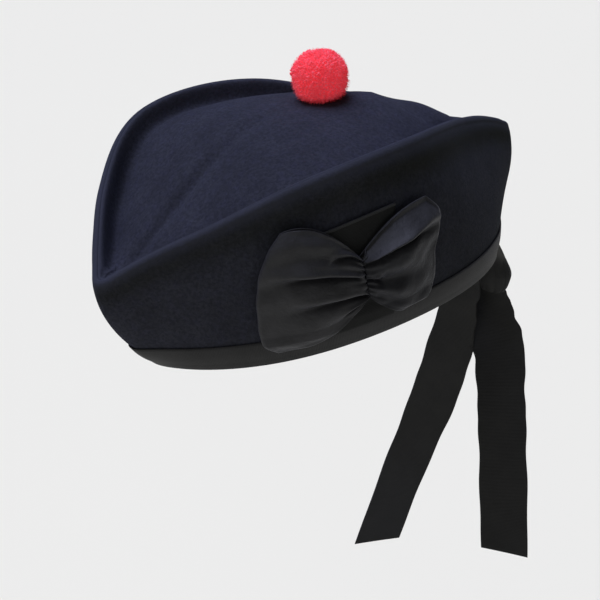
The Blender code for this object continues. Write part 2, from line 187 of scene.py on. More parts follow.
# Gathers: where along the loop one starts and ends, where across it is at the pinch and at the end,
# depth and width. Their profile is a valley with a wide foot and a fold that leans over it
FRONT_CREASES = (
    (0.00, 0.42, 0.885, 0.690, 0.0030, 0.026),
    (0.02, 0.96, 0.545, 0.570, 0.0040, 0.024),
    (0.02, 0.84, 0.325, 0.320, 0.0032, 0.026),
    (0.00, 0.35, 0.150, 0.110, 0.0014, 0.024),
    (0.04, 0.80, 0.720, 0.700, -0.0010, 0.060),
)
REAR_CREASES = (
    (0.00, 0.92, 0.750, 0.715, 0.0040, 0.026),
    (0.00, 0.28, 0.430, 0.350, 0.0022, 0.030),
    (0.14, 0.80, 0.400, 0.420, 0.0022, 0.080),
    (0.10, 0.70, 0.180, 0.150, 0.0012, 0.040),
    (0.00, 0.26, 0.580, 0.640, -0.0016, 0.050),
    (0.06, 1.40, 0.820, 0.800, -0.0026, 0.050),
    (0.06, 1.40, 0.990, 1.000, 0.0024, 0.060),
)
CREASE_FADE = np.array((-0.03, 0.06))
CREASE_RUN_OUT = 0.45
CREASE_PROFILE = ((0.7, 0, 1), (0.3, 0, 3), (-0.85, 2.5, 1.7))

# Crumples: height, and the turns across and along and the start of the two waves of each
CRUMPLES = ((0.00050, (17, 5, 1.0), (-7, 8, 0.5)), (0.00025, (31, -9, 2.0), (5, 12, 0.0)))
PUCKERS = 11
PUCKER_START = 0.3
PUCKER_REACH = 0.13
PUCKER_DEPTH = 0.0006

# Tails
TAIL_COLUMNS = ("x", "y", "z", "width", "heading")
TAIL_LEFT = (
    (-0.0016, 0.1160, -0.0400, 0.0150, 8.0),
    (-0.0016, 0.1167, -0.0451, 0.0176, 10.0),
    (-0.0016, 0.1167, -0.0558, 0.0240, 19.0),
    (0.0022, 0.1138, -0.0723, 0.0272, 27.0),
    (0.0119, 0.1050, -0.0998, 0.0272, 40.0),
    (0.0195, 0.0960, -0.1307, 0.0270, 43.0),
    (0.0299, 0.0814, -0.1887, 0.0265, 43.0),
)
TAIL_RIGHT = (
    (-0.0036, 0.1040, -0.0030, 0.0150, 0.0),
    (-0.0040, 0.1053, -0.0105, 0.0150, 0.0),
    (-0.0060, 0.1058, -0.0290, 0.0150, 4.0),
    (-0.0069, 0.1044, -0.0441, 0.0170, 6.0),
    (-0.0146, 0.1026, -0.0545, 0.0238, 14.0),
    (-0.0178, 0.1018, -0.0655, 0.0272, 16.0),
    (-0.0267, 0.0967, -0.0915, 0.0276, 20.0),
    (-0.0380, 0.0921, -0.1192, 0.0270, 24.0),
    (-0.0522, 0.0820, -0.1572, 0.0265, 25.0),
    (-0.0662, 0.0621, -0.2110, 0.0265, 25.0),
)

# Where a tail is wider: by how much, at which edge, and where along it that starts, is full, stops
# being full and ends
TAIL_LEFT_WIDER = ((0.0046, -1, 0.33, 0.42, 0.515, 0.590), (0.0020, 1, 0.40, 0.48, 0.56, 0.66))
TAIL_RIGHT_WIDER = ((0.0026, 1, 0.56, 0.66, 0.80, 0.95),)
TAIL_BOW = 0.0005
TAIL_BOW_TURN = 9
TAIL_WAVE = 0.0004
TAIL_WAVES = ((43, 0), (71, 1))
TAIL_CUT_FROM = 0.915
TAIL_LEFT_SLANT = 0.0063
TAIL_RIGHT_SLANT = -0.0092

# Knot
KNOT_COLUMNS = ("x", "y", "z", "width", "depth")
KNOT = (
    (-0.0008, 0.1060, -0.0022, 0.0270, 0.0030),
    (-0.0004, 0.1086, -0.0063, 0.0284, 0.0031),
    (0.0000, 0.1122, -0.0136, 0.0284, 0.0036),
    (0.0000, 0.1150, -0.0209, 0.0272, 0.0052),
    (-0.0004, 0.1159, -0.0266, 0.0270, 0.0104),
    (-0.0012, 0.1163, -0.0345, 0.0304, 0.0142),
    (-0.0016, 0.1157, -0.0413, 0.0268, 0.0115),
    (-0.0014, 0.1147, -0.0444, 0.0222, 0.0089),
)
KNOT_SQUARENESS = 2.6
KNOT_PLEATS = 9
KNOT_PLEAT_DEPTH = 0.0006
KNOT_PLEAT_LEAN = 1.1
KNOT_PLEAT_DRIFT = 0.4
KNOT_PLEAT_DRIFTS = 3
KNOT_PLEAT_SHARPNESS = 0.6
KNOT_PLEAT_LEAST = 0.35
KNOT_FULL_DEPTH = 0.009
KNOT_LUMP = 0.4
KNOT_LUMP_ALONG = (0.45, 0.65)
# A paler band of ribbon high on the knot, made far lighter as painted light in the hat's shadow: its colour,
# and the heights where it starts and is full
KNOT_PALE_AND_LIT = (0.052, 0.052, 0.049)
KNOT_PALE_AND_LIT_HEIGHTS = (-0.027, -0.020)

# Toorie
SEED = 7
TOORIE_PLACE = np.array((0.0, 0.0183, 0.1132))
TOORIE_RADIUS = 0.0132
TOORIE_SQUASH = np.array((1.02, 1.02, 0.93))
TOORIE_SQUARENESS = 2.30
TOORIE_FOOT_SQUARENESS = 3.20
# Painted shade at the foot of the pompom: how far below its middle, as shares of its radius, it starts and
# is full
TOORIE_FOOT_SHADE = (0.50, 0.95)
CROWN_ROOM = 0.0002
CORE_DEPTH = 0.0003
CORE_SHADE = 0.3
# Depth of the core, between root and tip, for the painted shade towards the roots
CORE_LEVEL = 0.5
LUMP_HEIGHT = 0.0010
LUMP_TURNS = (5, 4, 5)
LUMP_STARTS = (1, 2, 0)
STEEP = 0.8

# Ends of yarn and loose fibres. Their look is the most bend, the range of shades, the radii from
# root to tip and the number of sides
YARN_ENDS = 1500
YARN_ROOTS = 0.0098
YARN_PAST = 0.0004
YARN_UNEVEN = 0.00035
YARN_SCATTER = 0.035
YARN_ROOT_SCATTER = 0.05
YARN_LOOK = (0.0008, (0, 1), 0.00066 * np.array((0.8, 1.0, 1.12, 1.1, 0.62)), 6)
FLUFF = 6000
FLUFF_ROOT_DEPTH = 0.0006
FLUFF_PAST = (0.0004, 0.0018)
FLUFF_SCATTER = 0.10
FLUFF_LOOK = (0.0012, (0.3, 1), (9e-5, 7e-5, 4e-5), 3)

# Inputs of a shader. A surface gives the four from the specular level to the sheen tint
SHADER_INPUTS = (
    "Base Color",
    "Roughness",
    "Normal",
    "Specular IOR Level",
    "Sheen Weight",
    "Sheen Roughness",
    "Sheen Tint",
    "Emission Color",
    "Emission Strength",
)

# Noises of the materials: scale, detail, roughness and distortion
FELT_NOISES = {
    "clouds": (38, 4, 0.6),
    "mottle": (560, 3, 0.62, 0.5),
    "patches": (230, 3, 0.6, 0.4),
    "fibres": (1700, 4, 0.7, 2.2),
    "stray": (1000, 3, 0.6, 4.0),
}
RIBBON_NOISES = {"wander": (260, 3, 0.6), "threads": (2600, 2, 0.5), "clouds": (70, 3, 0.55)}
SATIN_NOISES = {"clouds": (110, 3, 0.55), "crumples": (260, 3, 0.6, 0.8)}
WOOL_NOISES = {"clouds": (190, 3, 0.6), "fibres": (2400, 4, 0.7, 1.5)}
FLOOR_NOISES = {"clouds": (3, 2)}
CLOUD_RANGE = (0.35, 0.65)
FIBRE_RANGE = (0.3, 0.7)

# Felt, with layers of colour: the noise that a layer follows, the values that it starts and is full
# at, the most of it and its colour
FELT_DARK = (0.0180, 0.0184, 0.0236)
FELT_LAYERS = (
    ("clouds", *CLOUD_RANGE, 1.00, (0.0245, 0.0252, 0.0325)),
    ("patches", 0.45, 0.70, 0.50, (0.0225, 0.0228, 0.0370)),
    ("mottle", 0.38, 0.64, 0.62, (0.0090, 0.0094, 0.0124)),
    ("fibres", 0.52, 0.80, 0.60, (0.040, 0.042, 0.058)),
    ("stray", 0.66, 0.78, 0.40, (0.070, 0.074, 0.098)),
)
# Colour of the worn felt along the ridges, made lighter as a painted highlight
FELT_WORN_AND_LIT = (0.056, 0.060, 0.078)
# Colour factors of the painted light on the felt, from shaded to lit
FELT_SHADED = (0.384, 0.404, 0.160)
FELT_LIT = (1.56, 1.58, 1.70)
FELT_ROUGHNESS = (0.86, 1.0)
FELT_RELIEF = (0.9, 0.5)
FELT_BUMP = (0.0006, 0.7)
FELT_SURFACE = (0.05, 0.020, 0.42, (0.45, 0.55, 1.0, 1))

# Wear and painted highlight along the ridges: the most of it, middle and width, and how patchy it is
SIDE_WEAR_AND_HIGHLIGHT = (0.34, 0, 0.0048)
CROWN_WEAR_AND_HIGHLIGHT = (0.34, 0, 0.0030)
WEAR_AND_HIGHLIGHT_PATCHES = (0.3, 0.6, 0.4, 1.0)

# Painted light on the felt, lighter and bluer on the crown and darker on the sides: how lit it is at the
# front and the back, where that changes, and how much painted shade there is under a ridge, with the middle
# and the width of that as shares of a side's height
SIDE_LEFT_PAINTED_LIGHT = (0.680, 0.380)
SIDE_RIGHT_PAINTED_LIGHT = (0.800, 0.700)
CROWN_PAINTED_LIGHT = (0.771, 1.000)
PAINTED_LIGHT_ALONG = (-0.06, 0.06)
UNDER_RIDGE_SHADE = (0.36, 0.90, 0.10)

# Ribbed ribbons: dark and light colour, depth of the ribs, roughness, specular level and sheen
RIBBONS = {
    "black_binding_ribbon": ((0.0130, 0.0130, 0.0130), (0.0180, 0.0180, 0.0180), 0.00012, 0.68, 0.22, 0.04),
    "black_grosgrain": ((0.0140, 0.0140, 0.0137), (0.0172, 0.0172, 0.0166), 0.00012, 0.75, 0.15, 0.0),
    "black_patch_ribbon": ((0.0095, 0.0098, 0.0095), (0.0122, 0.0125, 0.0122), 0.00010, 0.80, 0.10, 0.0),
}
RIBBON_ROUGHER = (-0.05, 0.08)
RIBBON_SHEEN = (0.4, (1, 1, 1, 1))
RIB_PITCH = 0.0008
RIB_WANDER = 2.4
RIB_WEAR = 0.35
RIB_WORN = 1.9
RIB_THREADS = 0.4
RIB_BUMP = 0.7

# Satin
SATIN_DARK = (0.0125, 0.0125, 0.0134)
SATIN_LAYERS = (
    ("clouds", *CLOUD_RANGE, 1.00, (0.0185, 0.0185, 0.0200)),
    ("threads", 0.45, 0.75, 0.50, (0.030, 0.030, 0.033)),
)
# Colour of the painted shade on the satin
SATIN_SHADE = (0.0055, 0.0058, 0.0078)
SATIN_THREADS = (1.0, 2, 0.5)
SATIN_STRETCH = (4000, 180, 1)
SATIN_ROUGHNESS = (0.52, 0.66)
CRUMPLE_BUMP = (0.0009, 0.5)
THREAD_BUMP = (0.00005, 0.6)
SATIN_SURFACE = (0.24, 0.07, 0.4, (0.75, 0.78, 1.0, 1))
# Painted shade over the lower part of the rear loop: how much, and the shares across it where it fades out
REAR_WING_SHADE = 0.85
REAR_WING_SHADE_EDGE = (0.60, 0.74)

# Wool
WOOL_RED = (0.90, 0.055, 0.085)
WOOL_PALE = (0.94, 0.175, 0.225)
# Colour of the painted shade towards the roots of the yarn
WOOL_ROOT_SHADE = (0.90, 0.030, 0.050)
WOOL_CLOUDS = (("clouds", 0.42, 0.68, 0.80, (0.92, 0.028, 0.048)),)
WOOL_FIBRES = (("fibres", 0.50, 0.75, 0.35, (0.98, 0.24, 0.26)),)
# Colour of the painted shade at the foot of the pompom
WOOL_FOOT_SHADE = (0.30, 0.006, 0.012)
# Painted glow of the wool: strength and colour
WOOL_PAINTED_GLOW = 0.23
WOOL_PAINTED_GLOW_COLOUR = (1.0, 0.075, 0.105)
WOOL_ROUGHNESS = (0.85, 1.0)
WOOL_BUMP = (0.0003, 0.6)
WOOL_SURFACE = (0.15, 0.35, 0.5, (1.0, 0.60, 0.64, 1))

# Flat sizes that the loops of the bow and the tails are cut to: width and length, and area where not square
FRONT_WING_CUT = ((0.066, 0.118), 0.0069)
REAR_WING_CUT = ((0.060, 0.098), 0.0052)
TAIL_LEFT_CUT = ((0.033, 0.154), 0.0044)
TAIL_RIGHT_CUT = ((0.030, 0.218), 0.0054)

# Number of faces
STATIONS = 300
END_DENSITY = 0.88
PANEL_ROWS = 46
RIDGE_ROWS = 14
SLOPE_ROWS = 16
CROWN_ROWS = 44
WING_ROWS = 168
WING_TURN_ROWS = 13
WING_UNDER_ROWS = 25
BINDING_ROWS = 9
PATCH_ROWS = 60
PATCH_COLUMNS = 40
HEM_ROWS = 7
KNOT_ROWS = 110
KNOT_SIDES = 240
TAIL_ROWS = 221
TAIL_STRIPS = 25
CORE_LEVELS = 4

# Camera: the photo's viewpoint
TARGET = Vector((0, 0, 0.05225))
DISTANCE = 1.3730
AZIMUTH = 56.0
ELEVATION = 23.0
ROLL = 0.13296
FOCAL_PIXELS = 2649.2
PRINCIPAL = (305.829, 196.150)
PICTURE = 600
SENSOR = 36

# Floor and light
FLOOR_HEIGHT = -0.55
FLOOR_REACH = 12.0
FLOOR_ROUGHNESS = 0.9
FLOOR_DARK = (0.790, 0.752, 0.560)
FLOOR_LIGHT = (0.798, 0.760, 0.566)
WORLD_LIGHT = 0.06
LIGHTS = {
    "top_light": (3.42, (0.30, -0.02, -1.0), 50.0, (0.88, 0.93, 1.28)),
    "front_light": (0.50, (-0.40, 0.74, -0.52), 60.0, (1.0, 1.0, 1.0)),
}


# Surfaces of the solids, for whole arrays of places at a time


def vectors(x, y, z):
    return np.stack(np.broadcast_arrays(x, y, z), axis=-1).astype(float)


def column_of(table, columns, name):
    return np.array(table)[:, columns.index(name)]


def through(knots, values, at):
    """Smooth curve through the values at the knots, read at the places given."""
    slopes = np.gradient(values, knots, axis=0)
    at = np.clip(at, knots[0], knots[-1])
    i = np.clip(np.searchsorted(knots, at, side="right") - 1, 0, len(knots) - 2)
    width = knots[i + 1] - knots[i]
    t = (at - knots[i]) / width
    extra = (1,) * (values.ndim - 1)
    t = t.reshape(t.shape + extra)
    width = width.reshape(width.shape + extra)
    return (
        values[i] * (2 * t**3 - 3 * t**2 + 1)
        + values[i + 1] * (3 * t**2 - 2 * t**3)
        + slopes[i] * width * (t**3 - 2 * t**2 + t)
        + slopes[i + 1] * width * (t**3 - t**2)
    )


def eased(station):
    left = 1 - station
    front = (station**2 + FRONT_ROUNDING**2) / (2 * FRONT_ROUNDING)
    back = 1 - (left**2 + BACK_ROUNDING**2) / (2 * BACK_ROUNDING)
    return np.where(station < FRONT_ROUNDING, front, np.where(left < BACK_ROUNDING, back, station))


def section(name, station):
    station = np.asarray(station, float)
    at = station if name == "half_width" else eased(station)
    knots = column_of(SECTIONS, SECTION_COLUMNS, "station")
    return through(knots, column_of(SECTIONS, SECTION_COLUMNS, name), at)


def curves(table, columns, at):
    """Smooth curves through the columns of a table, from its first row (0) to its last (1)."""
    knots = np.linspace(0, 1, len(table))
    return {name: through(knots, column_of(table, columns, name), at) for name in columns}


def middle_line(name, along):
    knots = column_of(SECTIONS, SECTION_COLUMNS, "along")
    return through(knots, column_of(SECTIONS, SECTION_COLUMNS, name), np.asarray(along, float))


def rim(station):
    turn = np.pi * station
    along = -np.cos(turn)
    sharpness = np.where(along < 0, RIM_FRONT_SHARPNESS * along**2, 0.0)
    x = RIM_HALF_WIDTH * np.abs(np.sin(turn)) ** (1 + sharpness)
    return vectors(x, RIM_HALF_LENGTH * along, RIM_LIFT + RIM_SADDLE * (1 - 2 * along**2))


def ridge(station):
    return vectors(section("half_width", station), section("along", station), section("ridge", station))


def beyond_seam(points_at, station):
    """Points at stations that may lie past a seam, on the other side of the hat."""
    folded = np.abs(station)
    folded = np.where(folded > 1, 2 - folded, folded)
    side = np.where((station < 0) | (station > 1), -1.0, 1.0)
    return points_at(folded) * vectors(side, 1, 1)


def smooth_step(value, low, high):
    """0 below low, 1 above high and a soft slope between."""
    t = np.clip((value - low) / (high - low), 0, 1)
    return t * t * (3 - 2 * t)


def hump(value, height, middle, width):
    """A height at the middle, fading to both sides of it."""
    return height * np.exp(-(((value - middle) / width) ** 2))


def unit(v):
    return v / np.linalg.norm(v, axis=-1, keepdims=True)


def level_normal(points_at, station):
    run = beyond_seam(points_at, station + NORMAL_REACH) - beyond_seam(points_at, station - NORMAL_REACH)
    return unit(vectors(run[..., 1], -run[..., 0], 0))


def shoulder(station):
    return ridge(station) + RIDGE_RADIUS * level_normal(ridge, station) - (0, 0, RIDGE_RADIUS)


def panel(station, share):
    """Outside of the left panel, from the rim (0) to the shoulder of the ridge (1)."""
    station, share = np.broadcast_arrays(np.asarray(station, float), np.asarray(share, float))
    mix = share[..., None]

    def straight(place):
        return (1 - mix) * rim(place) + mix * shoulder(place)

    swell = section("swell", station) * 4 * share * (1 - share)
    return straight(station) + swell[..., None] * level_normal(straight, station)


def panel_normal(station, share):
    station, share = np.broadcast_arrays(np.asarray(station, float), np.asarray(share, float))

    def on_level(place):
        return panel(place, share)

    along = beyond_seam(on_level, station + NORMAL_STEP) - beyond_seam(on_level, station - NORMAL_STEP)
    up = panel(station, share + NORMAL_STEP) - panel(station, share - NORMAL_STEP)
    return unit(np.cross(along, up))


def binding_share(station):
    return BINDING_HEIGHT / (shoulder(station)[..., 2] - rim(station)[..., 2])


def raised(points, along, across):
    """The same points where a ridge stands a little higher."""
    x, y, z = np.moveaxis(points, -1, 0)
    high = np.clip((z - BINDING_HEIGHT) / RISE_HEIGHT, 0, 1)
    return vectors(x, y, z + hump(y, *along) * smooth_step(x, *across) * high)


def mirrored(points):
    """The same points on the right side, which has settled a little."""
    x, y, z = np.moveaxis(points, -1, 0)
    out = np.clip(x / SETTLE_WIDTH, 0, 1)
    high = np.clip((z - BINDING_HEIGHT) / SETTLE_HEIGHT, 0, 1)
    return vectors(-x, y, raised(points, *RIGHT_RISE)[..., 2] - hump(y, *SETTLE) * out * high)


def on_panel(back, up, lift):
    """Points over the left panel: behind and above the pinch of the cockade, lifted off the felt."""
    station = PINCH_STATION + back / PANEL_RUN
    share = PINCH_SHARE + up / PANEL_RISE
    above = (share - binding_share(station)) * PANEL_RISE
    step = BINDING_STEP * np.clip((STEP_TOP - above) / STEP_LENGTH, 0, 1)
    off = COCKADE_BED + step + lift
    return panel(station, share) + off[..., None] * panel_normal(station, share)


def stations():
    """Column of places from one seam to the other, closer together near the seams."""
    t = np.linspace(0, 1, STATIONS + 1)[:, None]
    return t - END_DENSITY * np.sin(2 * np.pi * t) / (2 * np.pi)


# Meshes


def lengths(points):
    steps = np.linalg.norm(np.diff(points, axis=0), axis=1)
    return np.concatenate([[0], np.cumsum(steps)])


def grid_piece(name, points, material, closed=False, flip=False):
    """Quads through a grid of points, with texture places in metres along and across the grid."""
    rows, count = points.shape[:2]
    loops = rows if closed else rows - 1
    here = np.arange(loops)[:, None] * count + np.arange(count - 1)
    there = ((np.arange(loops) + 1) % rows)[:, None] * count + np.arange(count - 1)
    faces = np.stack([here, there, there + 1, here + 1], axis=-1).reshape(-1, 4)
    if flip:
        faces = faces[:, ::-1]
    mesh = bpy.data.meshes.new(name)
    mesh.from_pydata(points.reshape(-1, 3).tolist(), [], faces.tolist())
    down = lengths(points[:, count // 2])
    across = lengths(points[rows // 2])
    i, j = np.divmod(faces.reshape(-1), count)
    layer = mesh.uv_layers.new(name="UVMap")
    layer.data.foreach_set("uv", np.stack([down[i], across[j]], axis=-1).astype(np.float32).ravel())
    mesh.shade_smooth()
    return new_piece(name, mesh, material)


def new_piece(name, mesh, material):
    piece = bpy.data.objects.new(name, mesh)
    mesh.materials.append(material)
    bpy.context.scene.collection.objects.link(piece)
    return piece


def spread(piece, name, values):
    """Stores a value at each point of a piece, for its material."""
    attribute = piece.data.attributes.new(name, "FLOAT", "POINT")
    attribute.data.foreach_set("value", np.asarray(values, np.float32).ravel())


def solidify(piece, thickness, side):
    wall = piece.modifiers.new("Wall", "SOLIDIFY")
    wall.thickness = thickness
    wall.offset = side
    wall.use_quality_normals = True


def weld(piece):
    """Joins the first and the last column of a grid that closes on itself."""
    mesh = bmesh.new()
    mesh.from_mesh(piece.data)
    bmesh.ops.remove_doubles(mesh, verts=mesh.verts, dist=TINY)
    mesh.to_mesh(piece.data)
    mesh.free()


def hand_over(piece, slot, *nodes):
    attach(piece, "root")
    if nodes:
        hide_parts(*nodes)


# Materials


def put(tree, socket, value):
    """Links an input to another node's socket, or sets it to a value."""
    if isinstance(value, bpy.types.NodeSocket):
        tree.links.new(value, socket)
    else:
        socket.default_value = value


def add_node(tree, kind, settings=None, inputs=None):
    node = tree.nodes.new(kind)
    for name, value in (settings or {}).items():
        setattr(node, name, value)
    for name, value in (inputs or {}).items():
        put(tree, node.inputs[name], value)
    return node


def stored(tree, name):
    """The value that a piece stores at its points."""
    return add_node(tree, "ShaderNodeAttribute", {"attribute_name": name}).outputs["Fac"]


def noise(tree, place, scale, detail, roughness=0.5, distortion=0.0):
    inputs = {"Vector": place, "Scale": scale, "Detail": detail, "Roughness": roughness}
    inputs["Distortion"] = distortion
    return add_node(tree, "ShaderNodeTexNoise", inputs=inputs).outputs["Fac"]


def mapped(tree, value, low, high, to_low=0, to_high=1):
    inputs = {"Value": value, "From Min": low, "From Max": high, "To Min": to_low, "To Max": to_high}
    return add_node(tree, "ShaderNodeMapRange", inputs=inputs).outputs["Result"]


def mixed(tree, share, first, second, blend="MIX"):
    """Mix of two colours, each a colour or a socket."""
    node = add_node(tree, "ShaderNodeMix", {"data_type": "RGBA", "blend_type": blend})
    put(tree, node.inputs[0], share)
    for index, value in ((6, first), (7, second)):
        put(tree, node.inputs[index], (*value, 1) if isinstance(value, tuple) else value)
    return node.outputs[2]


def layered(tree, colour, values, layers):
    """The colour with layers of other colours over it, each thickest where its noise is high."""
    for name, start, full, most, over in layers:
        colour = mixed(tree, mapped(tree, values[name], start, full, 0, most), colour, over)
    return colour


def maths(tree, operation, *values):
    node = add_node(tree, "ShaderNodeMath", {"operation": operation})
    for socket, value in zip(node.inputs, values):
        put(tree, socket, value)
    return node.outputs[0]


def bump(tree, height, distance, strength, normal=None):
    inputs = {"Height": height, "Distance": distance, "Strength": strength}
    if normal is not None:
        inputs["Normal"] = normal
    return add_node(tree, "ShaderNodeBump", inputs=inputs).outputs["Normal"]


def new_material(name, table):
    """A material, its node tree, and the noises of a table by name along with texture places."""
    material = bpy.data.materials.new(name)
    material.use_nodes = True
    tree = material.node_tree
    places = add_node(tree, "ShaderNodeTexCoord").outputs
    values = {key: noise(tree, places["Object"], *row) for key, row in table.items()}
    return material, tree, {"places": places["UV"], **values}


def finished(material, *values):
    """The material with the first inputs of its shader linked or set."""
    shader = material.node_tree.nodes["Principled BSDF"]
    for name, value in zip(SHADER_INPUTS, values):
        put(material.node_tree, shader.inputs[name], value)
    return material


def felt_material():
    """Milled navy wool: a cloudy dark blue with short matted fibres and a few paler ones."""
    material, tree, values = new_material("navy_wool_felt", FELT_NOISES)
    colour = layered(tree, FELT_DARK, values, FELT_LAYERS)
    # Painted light: the felt darker on the sides and under the ridges, lighter and bluer on the crown
    colour = mixed(tree, 1.0, colour, mixed(tree, stored(tree, "painted_light"), FELT_SHADED, FELT_LIT), "MULTIPLY")
    # Wear and painted highlight along the ridges, in patches
    worn = maths(tree, "MULTIPLY", stored(tree, "wear_and_highlight"), mapped(tree, values["mottle"], *WEAR_AND_HIGHLIGHT_PATCHES))
    colour = mixed(tree, worn, colour, FELT_WORN_AND_LIT)
    roughness = mapped(tree, values["fibres"], *FIBRE_RANGE, *FELT_ROUGHNESS)
    relief = zip(("mottle", "fibres"), FELT_RELIEF)
    height = maths(tree, "ADD", *[maths(tree, "MULTIPLY", values[name], share) for name, share in relief])
    return finished(material, colour, roughness, bump(tree, height, *FELT_BUMP), *FELT_SURFACE)


def ribbon_material(name):
    """Black ribbon with fine ribs across its length, their tops a little worn, and a paler band with painted
    light where a piece marks one.
    """
    dark, light, depth, rough, specular, sheen = RIBBONS[name]
    material, tree, values = new_material(name, RIBBON_NOISES)
    places = add_node(tree, "ShaderNodeSeparateXYZ", inputs={"Vector": values["places"]})
    turn = maths(tree, "MULTIPLY", places.outputs["X"], 2 * math.pi / RIB_PITCH)
    turn = maths(tree, "ADD", turn, maths(tree, "MULTIPLY", values["wander"], RIB_WANDER))
    ribs = mapped(tree, maths(tree, "SINE", turn), -1, 1)
    colour = layered(tree, dark, values, (("clouds", *CLOUD_RANGE, 1.0, light),))
    worn = tuple(RIB_WORN * c for c in light)
    colour = mixed(tree, maths(tree, "MULTIPLY", ribs, RIB_WEAR), colour, worn)
    # Paler band with painted light, where a piece marks it
    colour = mixed(tree, stored(tree, "pale_and_lit"), colour, KNOT_PALE_AND_LIT)
    roughness = mapped(tree, values["threads"], *FIBRE_RANGE, *[rough + more for more in RIBBON_ROUGHER])
    height = maths(tree, "ADD", ribs, maths(tree, "MULTIPLY", values["threads"], RIB_THREADS))
    normal = bump(tree, height, depth, RIB_BUMP)
    return finished(material, colour, roughness, normal, specular, sheen, *RIBBON_SHEEN)


def satin_material():
    """Black satin ribbon, softly crumpled, with threads along the ribbon too fine to see one by one, and
    painted shade where a piece marks it.
    """
    material, tree, values = new_material("black_satin", SATIN_NOISES)
    along = {"Vector": values["places"], "Scale": SATIN_STRETCH}
    stretched = add_node(tree, "ShaderNodeMapping", inputs=along).outputs["Vector"]
    values["threads"] = noise(tree, stretched, *SATIN_THREADS)
    colour = layered(tree, SATIN_DARK, values, SATIN_LAYERS)
    # Painted shade where a piece marks it
    colour = mixed(tree, stored(tree, "painted_shade"), colour, SATIN_SHADE)
    roughness = mapped(tree, values["threads"], *FIBRE_RANGE, *SATIN_ROUGHNESS)
    normal = bump(tree, values["crumples"], *CRUMPLE_BUMP)
    normal = bump(tree, values["threads"], *THREAD_BUMP, normal)
    return finished(material, colour, roughness, normal, *SATIN_SURFACE)


def wool_material():
    """Red pompom wool, paler on the ends of the yarn, with a painted glow, and painted shade towards the
    roots of the yarn and at its foot.
    """
    material, tree, values = new_material("red_pompom_wool", WOOL_NOISES)
    foot_shade = stored(tree, "foot_shade")
    colour = mixed(tree, stored(tree, "shade"), WOOL_RED, WOOL_PALE)
    colour = layered(tree, colour, values, WOOL_CLOUDS)
    # Painted shade towards the roots of the yarn
    colour = mixed(tree, stored(tree, "depth"), WOOL_ROOT_SHADE, colour)
    colour = layered(tree, colour, values, WOOL_FIBRES)
    # Painted shade at the foot of the pompom
    colour = mixed(tree, foot_shade, colour, WOOL_FOOT_SHADE)
    # Painted glow, fading out at the foot
    painted_glow = mixed(tree, foot_shade, WOOL_PAINTED_GLOW_COLOUR, WOOL_FOOT_SHADE)
    roughness = mapped(tree, values["fibres"], *FIBRE_RANGE, *WOOL_ROUGHNESS)
    normal = bump(tree, values["fibres"], *WOOL_BUMP)
    return finished(material, colour, roughness, normal, *WOOL_SURFACE, painted_glow, WOOL_PAINTED_GLOW)


# Felt


def roll(share):
    """How far the felt stands out where it rolls over the ridge, with a slight hollow below."""
    return sum(hump(share, *row) for row in ROLL_HUMPS)


def painted_light_at(points, ends):
    """Painted light on the felt: how lit it is, from the front of the hat to the back."""
    return ends[0] + (ends[1] - ends[0]) * smooth_step(points[..., 1], *PAINTED_LIGHT_ALONG)


def side_grid():
    """Points of the left side from the rim to the seam on its ridge, and how worn it is at each, with a
    painted highlight along the ridge.

    It dips a little where the two sides meet at the front and the back, less so near the top.
    """
    places = stations()
    shares = np.linspace(0, 1, PANEL_ROWS + 1)
    rolled = smooth_step(places, 0, ROLL_END) * (1 - ROLL_BACK * smooth_step(places, *ROLL_BACK_STATIONS))
    rolled = rolled * smooth_step(1 - places, 0, ROLL_END)
    face = panel(places, shares) + (rolled * roll(shares))[..., None] * panel_normal(places, shares)
    dip = hump(face[..., 0], *SEAM) * (1 - smooth_step(shares, *SEAM_FADE))
    face[..., 1] -= dip * np.sign(face[..., 1])
    turns = np.linspace(0, np.pi / 2, RIDGE_ROWS + 1)[1:-1]
    reach = np.array([*RIDGE_RADIUS * np.cos(turns), LIPS[0], LIP_REACH])
    out = reach * (1 + rolled * roll(1) / RIDGE_RADIUS)
    top = ridge(places) + out[..., None] * level_normal(ridge, places)
    top[..., 2] += np.sqrt(RIDGE_RADIUS**2 - reach**2) - RIDGE_RADIUS - hump(reach, *GROOVE)
    away = np.concatenate([RIDGE_RADIUS + (1 - shares) * ROLL_SPAN, reach])
    return np.concatenate([face, top], axis=1), hump(away, *SIDE_WEAR_AND_HIGHLIGHT)


def make_sides(felt):
    left, wear_and_highlight = side_grid()
    rows = np.arange(left.shape[1]) / PANEL_ROWS
    for name, points, ends, flip in (
        ("side_left", raised(left, *LEFT_RISE), SIDE_LEFT_PAINTED_LIGHT, False),
        ("side_right", mirrored(left), SIDE_RIGHT_PAINTED_LIGHT, True),
    ):
        piece = grid_piece(name + "_felt", points, felt, flip=flip)
        # Wear and painted highlight along the ridge
        spread(piece, "wear_and_highlight", wear_and_highlight + 0 * points[..., 0])
        # Painted light on the side, with painted shade under the ridge
        spread(piece, "painted_light", painted_light_at(points, ends) - hump(rows, *UNDER_RIDGE_SHADE))
        solidify(piece, FELT, -1)
        hand_over(piece, "navy_felt", name)


def crown_fold_depth(places, x):
    """Depth of the soft folds that run along the crown."""
    depth = 0
    for off, first, last, deep, right, left in CROWN_FOLDS:
        fade = smooth_step(places, first, first + FOLD_FADE_IN)
        fade = fade * (1 - smooth_step(places, last - FOLD_FADE_OUT, last))
        depth = depth + fade * hump(x, deep, off, np.where(x < off, right, left))
    return depth


def crown_swell(x, y):
    """How far the crown stands higher than the solid's, behind the pompom."""
    return sum(hump(y, *along) * hump(x, 1, 0, width) for *along, width in CROWN_SWELLS)


